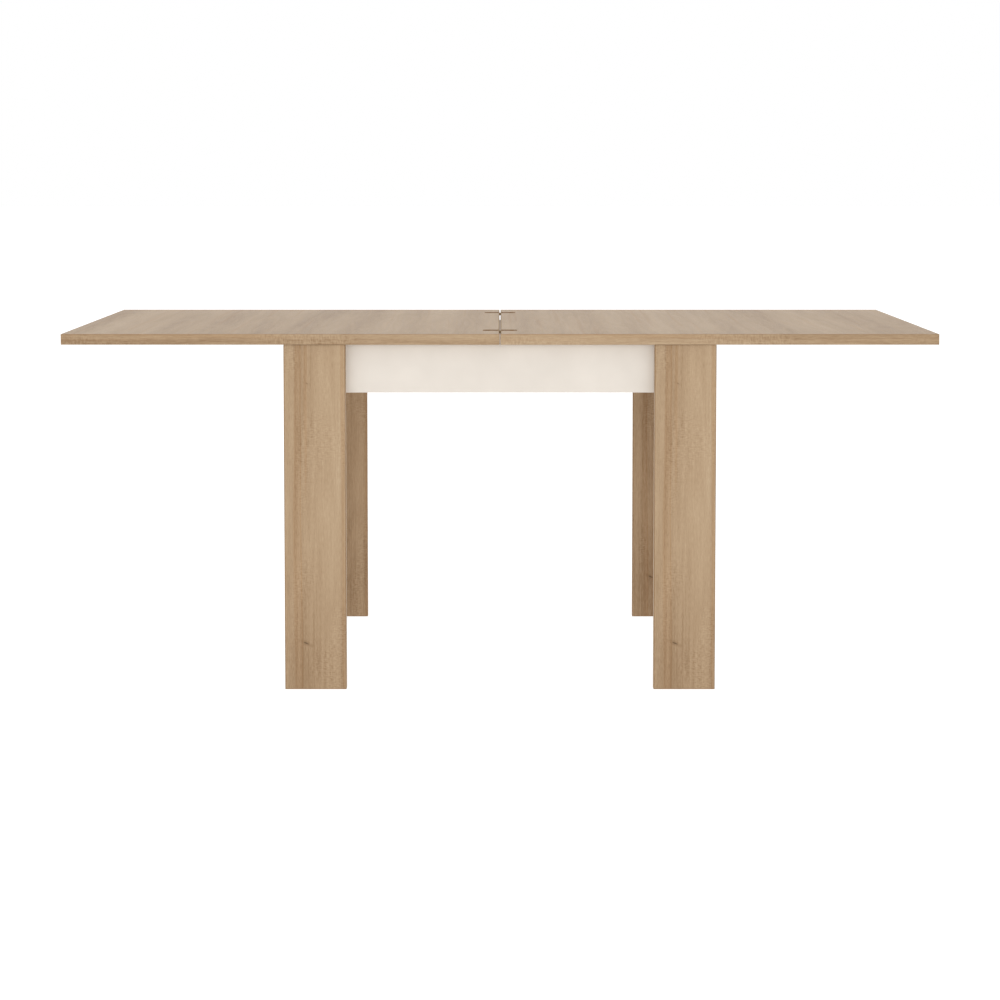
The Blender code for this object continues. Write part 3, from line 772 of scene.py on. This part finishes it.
def pan_screw(name, head, high, shank, long):
    """A domed screw, the underside of its head at z = 0 and its shank pointing down."""
    angles = [i * math.pi / 16 for i in range(9)]
    dome = [(head * math.sin(a), high * (0.35 + 0.65 * math.cos(a))) for a in angles]
    stem = [(head, 0), (shank, 0), (shank, -long + 0.001), (shank - 0.001, -long), (0, -long)]
    return cut(turned(name, dome + stem, 40), *slots(head * 0.24, head * 0.55, 0.0022, high))


def hinge_plate():
    """Flush plate and knuckle, slotted for the link, bored for the pin and countersunk."""
    data = to_mesh("hinge_plate", plate(
        "hinge_plate", [hinge_outline(0)], HINGE_TOP - HINGE_THICK, HINGE_TOP, 0.0002
    ))
    knuckle = block(
        (-KNUCKLE_REACH, -KNUCKLE_HALF, KNUCKLE_LOW),
        (-KNUCKLE_EDGE, KNUCKLE_HALF, HINGE_TOP - HINGE_THICK / 2),
    )
    round_edges(knuckle, 0.0005, 2, lambda v: v.z < KNUCKLE_LOW + 0.001)
    room, half = LINK_R + LINK_ROOM, LINK_HALF + LINK_ROOM
    slit = block((-PIN_X - room, -half, PIN_Z - room), (PAST_SEAM, half, POCKET_TOP))
    bore = turned("bore", [(0, 0.02), (PIN_BORE, 0.02), (PIN_BORE, -0.02), (0, -0.02)], 32)
    bore.transform(Matrix.Translation((-PIN_X, 0, PIN_Z)) @ Matrix.Rotation(math.pi / 2, 4, "X"))
    sinks = []
    head, shank, top = HINGE_SCREW[0] + 0.00035, HINGE_SCREW[1] + 0.00035, HINGE_SCREW_TOP
    for y in (-HINGE_SCREW_Y, HINGE_SCREW_Y):
        sink = turned("sink", [
            (0, top + 0.002), (head, top + 0.002), (head, top), (shank, top - 0.0022), (shank, top - 0.006),
            (0, top - 0.006),
        ], 40)
        sink.transform(Matrix.Translation((-HINGE_SCREW_X, y, 0)))
        sinks.append(sink)
    return cut(data, to_mesh("slit", slit), bore, *sinks, union=[to_mesh("knuckle", knuckle)])


def build_hinges():
    bronze, gilt = LOOK["bronze"], LOOK["gilt"]
    base = hinge_plate()
    rim = arc((PIN_X, 0), LINK_R, -math.pi / 2, math.pi, 16)
    rim += arc((-PIN_X, 0), LINK_R, math.pi / 2, math.pi, 16)
    bores = [circle((x, 0), PIN_BORE, 24) for x in (PIN_X, -PIN_X)]
    link = to_mesh("hinge_link", plate("hinge_link", [rim, *bores], -LINK_HALF, LINK_HALF, 0.0002))
    tip, flat = PIN_HALF - 0.0003, PIN_R - 0.0003
    pin = turned("hinge_pin", [
        (0, PIN_HALF), (flat, PIN_HALF), (PIN_R, tip), (PIN_R, -tip), (flat, -PIN_HALF), (0, -PIN_HALF),
    ], 32)
    screw = sunk_screw("hinge_screw", *HINGE_SCREW)
    lying = Matrix.Rotation(math.pi / 2, 4, "X")
    for end, back in ENDS.items():
        y = back * HINGE_AT
        node = f"hinge_link_{end}"
        place = Matrix.Translation((0, y, PIN_Z)) @ lying
        put(linked(f"{node}_bar", link.copy(), gilt, place), "hinge_links", node)
        for side, right in SIDES.items():
            body = leaf_body(right)
            node = f"hinge_plate_{end}_{side}"
            put(linked(f"{node}_flush", base.copy(), bronze, hinge_place(y, right)), body, node)
            node = f"hinge_pin_{end}_{side}"
            place = Matrix.Translation((right * PIN_X, y, PIN_Z)) @ lying
            put(linked(f"{node}_rod", pin.copy(), gilt, place), "hinge_links", node)
            for number, sign in ((1, -1), (2, 1)):
                node = f"hinge_screw_{end}_{side}_{number}"
                place = Matrix.Translation((right * HINGE_SCREW_X, y + sign * HINGE_SCREW_Y, HINGE_SCREW_TOP))
                place = place @ Matrix.Rotation(0.4 + 1.3 * number + right + 0.7 * back, 4, "Z")
                put(linked(f"{node}_sunk", screw.copy(), bronze, place), body, node)


def rounded_square(half, corner, steps=10):
    points = []
    for quarter in range(4):
        start = quarter * math.pi / 2
        turn = Matrix.Rotation(start, 2)
        points += arc(turn @ Vector((half - corner, half - corner)), corner, start, math.pi / 2, steps)
    return points


def turned_at(name, radius, low, high, centre):
    data = turned(name, [(0, high), (radius, high), (radius, low), (0, low)])
    data.transform(Matrix.Translation((centre.x, centre.y, 0)))
    return data


def build_swivel_board():
    """The plywood board across the frame, on two cleats that are screwed to the aprons."""
    left, right = PIVOT.x - SWIVEL_HALF, PIVOT.x + SWIVEL_HALF
    shape = block((left, -INNER, SWIVEL_LOW), (right, INNER, SWIVEL_HIGH))
    round_edges(shape, 0.0006, 2)
    hole = turned_at("hole", BUSH_R + FIT, SWIVEL_LOW - 0.01, SWIVEL_HIGH + 0.01, PIVOT)
    board = cut(to_mesh("swivel_board", shape), hole)
    put(linked("swivel_board_ply", board, LOOK["ply"]), "frame", "swivel_board")
    for end, back in ENDS.items():
        near = back * (INNER - CLEAT)
        ys = sorted((back * INNER, near))
        shape = block((left, ys[0], CLEAT_TOP - CLEAT), (right, ys[1], CLEAT_TOP))
        round_edges(shape, 0.0012, 3)
        node = f"swivel_cleat_{end}"
        put(linked(f"{node}_rail", to_mesh("cleat", shape), LOOK["beech_x"]), "frame", node)
        for side, dx in (("left", -CLEAT_SCREW_AT), ("right", CLEAT_SCREW_AT)):
            place = Matrix.Translation((PIVOT.x + dx, near, CLEAT_TOP - CLEAT / 2))
            place = place @ Matrix.Rotation(back * math.pi / 2, 4, "X")
            screw = pan_screw("cleat_screw", *CLEAT_SCREW)
            put(linked(f"cleat_screw_{end}_{side}", screw, LOOK["steel"], place), "frame")


def build_swivel_plate():
    """The steel plate on the board, with the arc slot that the stop pin runs in."""
    start, sweep, reach, half = STOP_START, STOP_SWEEP, STOP_AT, SLOT_HALF
    ends = [Matrix.Rotation(a, 2) @ Vector((reach, 0)) for a in (start, start + sweep)]
    slot = (
        arc((0, 0), reach + half, start, sweep, 40)
        + arc(ends[1], half, start + sweep, math.pi, 12)[1:-1]
        + arc((0, 0), reach - half, start + sweep, -sweep, 40)
        + arc(ends[0], half, start + math.pi, math.pi, 12)[1:-1]
    )
    ways = (-PLATE_SCREW_AT, PLATE_SCREW_AT)
    corners = [(x, y) for x in ways for y in ways]
    holes = [circle((0, 0), BUSH_R + FIT, 64), slot, *[circle(c, PLATE_SCREW_HOLE, 24) for c in corners]]
    outline = rounded_square(PLATE_HALF, PLATE_CORNER)
    data = to_mesh("swivel_plate", plate("swivel_plate", [outline, *holes], PLATE_LOW, PLATE_HIGH, 0.0003))
    put(linked("swivel_plate_sheet", data, LOOK["steel"], Matrix.Translation(PIVOT)), "frame", "swivel_plate")
    for number, (x, y) in enumerate(corners, 1):
        place = Matrix.Translation(PIVOT + Vector((x, y, PLATE_HIGH - 0.0001)))
        place = place @ Matrix.Rotation(number * 0.9, 4, "Z")
        screw = sunk_screw("swivel_plate_screw", *PLATE_SCREW)
        put(linked(f"swivel_plate_screw_{number}", screw, LOOK["steel"], place), "frame")


def build_pivot():
    """The bush in the board, and the stud, washer, nut and stop pin that turn with the left leaf."""
    steel = LOOK["steel"]
    place = Matrix.Translation(PIVOT)
    bore, base, trim = STUD_R + FIT, SWIVEL_LOW, 0.0003
    bush = turned("swivel_bush", [
        (bore + trim, BUSH_TOP), (BUSH_RIM - trim, BUSH_TOP), (BUSH_RIM, BUSH_TOP - trim),
        (BUSH_RIM, BUSH_SEAT + trim), (BUSH_RIM - trim, BUSH_SEAT), (BUSH_R, BUSH_SEAT),
        (BUSH_R, base + 0.0004), (BUSH_R - 0.0004, base), (bore + trim, base), (bore, base + trim),
        (bore, BUSH_TOP - trim),
    ], ring=True)
    put(linked("swivel_bush_flanged", bush, LOOK["nylon"], place), "frame", "swivel_bush")
    thread = []
    z = THREAD_TOP
    while z > THREAD_LOW:
        thread += [(STUD_R, z), (STUD_R, z - 0.00015), (STUD_ROOT, z - 0.0007), (STUD_ROOT, z - 0.0009)]
        z -= THREAD_PITCH
    rim, high = FLANGE_R, LOW + FLANGE_THICK
    stud = turned("swivel_pivot", [
        (0, high), (rim - 0.0001, high), (rim, high - 0.0002), (rim, LOW + 0.0002), (rim - 0.0002, LOW),
        (STUD_R + 0.0005, LOW), (STUD_R, LOW - 0.0005), (STUD_R, THREAD_TOP + 0.0006), *thread,
        (0.0074, STUD_END + 0.0015), (0.0068, STUD_END), (0, STUD_END),
    ])
    put(linked("swivel_pivot_stud", stud, steel, place), "top_fixed", "swivel_pivot")
    for number in range(4):
        angle = math.pi / 4 + number * math.pi / 2
        out = Vector((FLANGE_SCREW_AT * math.cos(angle), FLANGE_SCREW_AT * math.sin(angle), LOW - 0.00005))
        where = Matrix.Translation(PIVOT + out) @ Matrix.Rotation(math.pi, 4, "X")
        where = where @ Matrix.Rotation(number * 1.1, 4, "Z")
        screw = sunk_screw("swivel_pivot_screw", *FLANGE_SCREW)
        put(linked(f"swivel_pivot_screw_{number + 1}", screw, steel, where), "top_fixed")
    trim = 0.0002
    washer = turned("swivel_washer", [
        (bore + trim, WASHER_TOP), (WASHER_R - trim, WASHER_TOP), (WASHER_R, WASHER_TOP - trim),
        (WASHER_R, WASHER_LOW + trim), (WASHER_R - trim, WASHER_LOW), (bore + trim, WASHER_LOW),
        (bore, WASHER_LOW + trim), (bore, WASHER_TOP - trim),
    ], ring=True)
    put(linked("swivel_washer_ring", washer, steel, place), "top_fixed", "swivel_washer")
    shape = bmesh.new()
    bmesh.ops.create_cone(
        shape, cap_ends=True, segments=6, radius1=NUT_R, radius2=NUT_R, depth=NUT_HIGH,
        matrix=Matrix.Translation((0, 0, NUT_Z)),
    )
    rims = [e for e in shape.edges if abs(e.verts[0].co.z - e.verts[1].co.z) < SAME]
    bmesh.ops.bevel(shape, geom=rims, offset=0.0007, segments=2, profile=0.5, affect="EDGES")
    hole = turned_at("hole", bore, NUT_Z - NUT_HIGH, NUT_Z + NUT_HIGH, Vector((0, 0, 0)))
    nut = cut(to_mesh("swivel_nut", shape), hole)
    put(linked("swivel_nut_hex", nut, steel, place), "top_fixed", "swivel_nut")
    tip, flat, point = STOP_TOP - 0.0006, STOP_R - 0.0006, STOP_R - 0.0004
    pin = turned("stop_pin", [
        (0, STOP_TOP), (flat, STOP_TOP), (STOP_R, tip), (STOP_R, STOP_LOW + 0.0005), (point, STOP_LOW),
        (0, STOP_LOW),
    ], 40)
    place = Matrix.Translation(stop_place())
    put(linked("swivel_stop_pin_rod", pin, steel, place), "top_fixed", "swivel_stop_pin")


def build_corners():
    """In each corner of the frame, a wooden block and a bolt into each of the leg's two boards."""
    for end, back in ENDS.items():
        for side, right in SIDES.items():
            x, y = right * INNER, back * INNER
            loop = [
                (x, y), (x - right * BLOCK_ARM, y), (x - right * BLOCK_ARM, y - back * BLOCK_TIP),
                (x - right * BLOCK_TIP, y - back * BLOCK_ARM), (x, y - back * BLOCK_ARM),
            ]
            data = to_mesh("corner_block", plate("corner_block", [loop], BLOCK_LOW, BLOCK_HIGH, 0.0006))
            node = f"corner_block_{end}_{side}"
            put(linked(f"{node}_wood", data, LOOK["beech"]), "frame", node)
            for board, where, out in (
                ("face", (right * BOLT_AT, back * INNER, BOLT_Z), (0, -back, 0)),
                ("return", (right * INNER, back * BOLT_AT, BOLT_Z), (-right, 0, 0)),
            ):
                turn = Vector(out).to_track_quat("Z", "Y").to_matrix().to_4x4()
                place = Matrix.Translation(where) @ turn
                node = f"leg_bolt_{end}_{side}_{board}"
                bolt = pan_screw("leg_bolt", *LEG_BOLT)
                put(linked(f"{node}_pan", bolt, LOOK["steel"], place), "frame", node)


def build_pads():
    """The felt pads in the aprons' top edges."""
    middle = (APRON_OUT + APRON_IN) / 2
    pads = {
        "front_left": (-PAD_AT, -middle), "front_right": (PAD_AT, -middle), "back_left": (-PAD_AT, middle),
        "back_right": (PAD_AT, middle), "left": (-middle, 0), "right": (middle, 0),
    }
    for name, (x, y) in pads.items():
        half = Vector((PAD_WIDE, PAD_LONG) if y == 0 else (PAD_LONG, PAD_WIDE)) / 2
        low = PAD_SEAT + FIT
        shape = block((x - half.x, y - half.y, low), (x + half.x, y + half.y, low + PAD_THICK))
        round_edges(shape, 0.0004, 2)
        node = f"glide_pad_{name}"
        put(linked(f"{node}_strip", to_mesh("glide_pad", shape), LOOK["felt"]), "frame", node)


# ---------------------------------------------------------------- stage
def build_stage():
    shape = bmesh.new()
    bmesh.ops.create_grid(shape, x_segments=1, y_segments=1, size=FLOOR_HALF)
    n = Nodes("floor", None)
    for key, value in {
        "Base Color": (FLOOR_GREY, FLOOR_GREY, FLOOR_GREY, 1), "Roughness": 0.9, "Specular IOR Level": 0.0,
        "Emission Color": (1, 1, 1, 1), "Emission Strength": FLOOR_LIGHT,
    }.items():
        n.shader.inputs[key].default_value = value
    floor = linked("floor", to_mesh("floor", shape), n.material)
    floor.location.z = -0.0002
    build_world()

    lamp = bpy.data.lights.new("key", "AREA")
    lamp.size = KEY_SIDE
    lamp.energy = KEY_WATTS
    key = bpy.data.objects.new("key", lamp)
    key.location = KEY_AT
    key.rotation_euler = (Vector(KEY_AIM) - key.location).to_track_quat("-Z", "Y").to_euler()
    key.visible_camera = False
    bpy.context.scene.collection.objects.link(key)


def build_world():
    """A white studio. Its light comes from all round, low down, and from overhead."""
    world = bpy.data.worlds.new("studio")
    bpy.context.scene.world = world
    world.use_nodes = True
    tree = world.node_tree

    def node(kind, **settings):
        made = tree.nodes.new(kind)
        for key, value in settings.items():
            setattr(made, key, value)
        return made

    height = node("ShaderNodeSeparateXYZ")
    tree.links.new(node("ShaderNodeTexCoord").outputs["Generated"], height.inputs[0])
    rings = node("ShaderNodeValToRGB")
    stops = rings.color_ramp.elements
    stops.new(0.5)
    stops.new(0.6)
    for stop, (place, level) in zip(stops, WALLS):
        stop.position = place
        stop.color = (level, level, level, 1)
    tree.links.new(height.outputs[2], rings.inputs[0])
    lit = node("ShaderNodeMath", operation="MULTIPLY")
    tree.links.new(rings.outputs[0], lit.inputs[0])
    lit.inputs[1].default_value = WALL_LIGHT
    rays = node("ShaderNodeLightPath").outputs
    seen = node("ShaderNodeMath", operation="MAXIMUM")
    tree.links.new(rays["Is Camera Ray"], seen.inputs[0])
    tree.links.new(rays["Is Glossy Ray"], seen.inputs[1])
    strength = node("ShaderNodeMix")
    tree.links.new(seen.outputs[0], strength.inputs[0])
    tree.links.new(lit.outputs[0], strength.inputs[2])
    strength.inputs[3].default_value = 1.0
    tree.links.new(strength.outputs[0], tree.nodes["Background"].inputs["Strength"])
    tree.nodes["Background"].inputs["Color"].default_value = (1, 1, 1, 1)


def build_camera():
    lens = bpy.data.cameras.new("camera")
    lens.lens = LENS
    lens.shift_y = SHIFT
    lens.clip_end = 200
    camera = bpy.data.objects.new("camera", lens)
    camera.location = CAMERA_AT
    camera.rotation_euler = (math.radians(90 - TILT), 0, 0)
    bpy.context.scene.collection.objects.link(camera)
    bpy.context.scene.camera = camera


# The edge bands' materials by the axis that they run along and the axis that they face
EDGE = {
    run + out: oak(
        f"oak_edge_{run}{out}".lower(), run, EDGE_SHIFT, outward=out, contrast=1.25, rough=EDGE_ROUGH
    )
    for run, out in ("YX", "ZX", "XZ")
}
LOOK = {
    "steel": zinc("zinc_plate", (139, 136, 130), (172, 169, 162), 0.38),
    "gilt": zinc("yellow_zinc_plate", (152, 128, 88), (184, 160, 118), 0.42),
    "bronze": bronze_lacquer(),
    "beech": beech("beech_block", "Z"),
    "beech_x": beech("beech_rail", "X"),
    "ply": plywood(),
    "nylon": nylon(),
    "felt": felt(),
}

build_leaves()
build_legs()
build_aprons()
build_hinges()
build_swivel_board()
build_swivel_plate()
build_pivot()
build_corners()
build_pads()
build_stage()
build_camera()
bpy.context.scene.view_settings.view_transform = "Standard"
